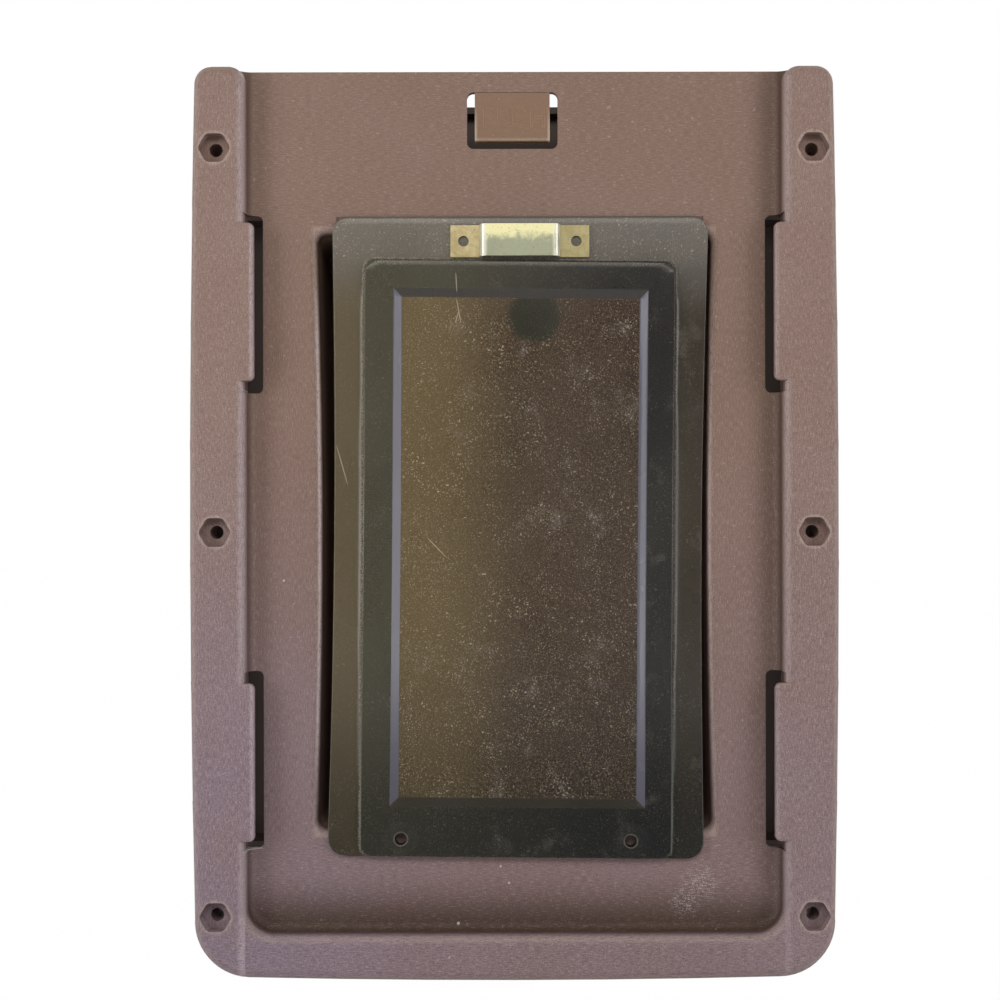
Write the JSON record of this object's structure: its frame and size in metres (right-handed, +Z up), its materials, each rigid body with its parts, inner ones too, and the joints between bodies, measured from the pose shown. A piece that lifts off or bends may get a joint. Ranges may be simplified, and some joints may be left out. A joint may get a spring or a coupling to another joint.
{
  "type": "pet door",
  "caption": "Brown moulded pet door for a house door: two flanged frames nested on a tunnel, a tinted soft flap with a magnet clip, a push latch and a slide-in closing panel.",
  "frame": {"origin": "centre of the screw holes, on the plane where the inner frame meets the door leaf", "axes": "+X to the right and +Z up as seen from indoors, +Y through the door leaf to the outside"},
  "size_m": [0.2308, 0.068, 0.3079],
  "materials": {
    "frame_plastic": "fine wood grain",
    "latch_plastic": "smooth satin",
    "panel_plastic": "fine grain",
    "flap_vinyl": "tinted see-through, scuffed",
    "clip_metal": "yellowed zinc plating",
    "magnet": "dull"
  },
  "bodies": {
    "frames": {"interior_frame": "frame_plastic", "exterior_frame": "frame_plastic"},
    "latch": {"push_latch": "latch_plastic"},
    "panel": {"closing_panel": "panel_plastic"},
    "flap": {"flap": "flap_vinyl", "magnet_clip": "clip_metal", "flap_magnet": "magnet"}
  },
  "joints": [
    {"name": "flap_swing", "type": "hinge", "parent": "frames", "child": "flap", "pos_m": [0.002, -0.0087, 0.106], "axis": [-1, 0, 0], "range_deg": [0, 90]},
    {"name": "latch_press", "type": "hinge", "parent": "frames", "child": "latch", "pos_m": [-0.0005, -0.0075, 0.14795], "axis": [1, 0, 0], "range_deg": [0, 8], "stiffness_Nm_per_rad": 0.8},
    {"name": "panel_slide", "type": "slide", "parent": "frames", "child": "panel", "axis": [0, 0, 1], "range_m": [0, 0.28]}
  ]
}
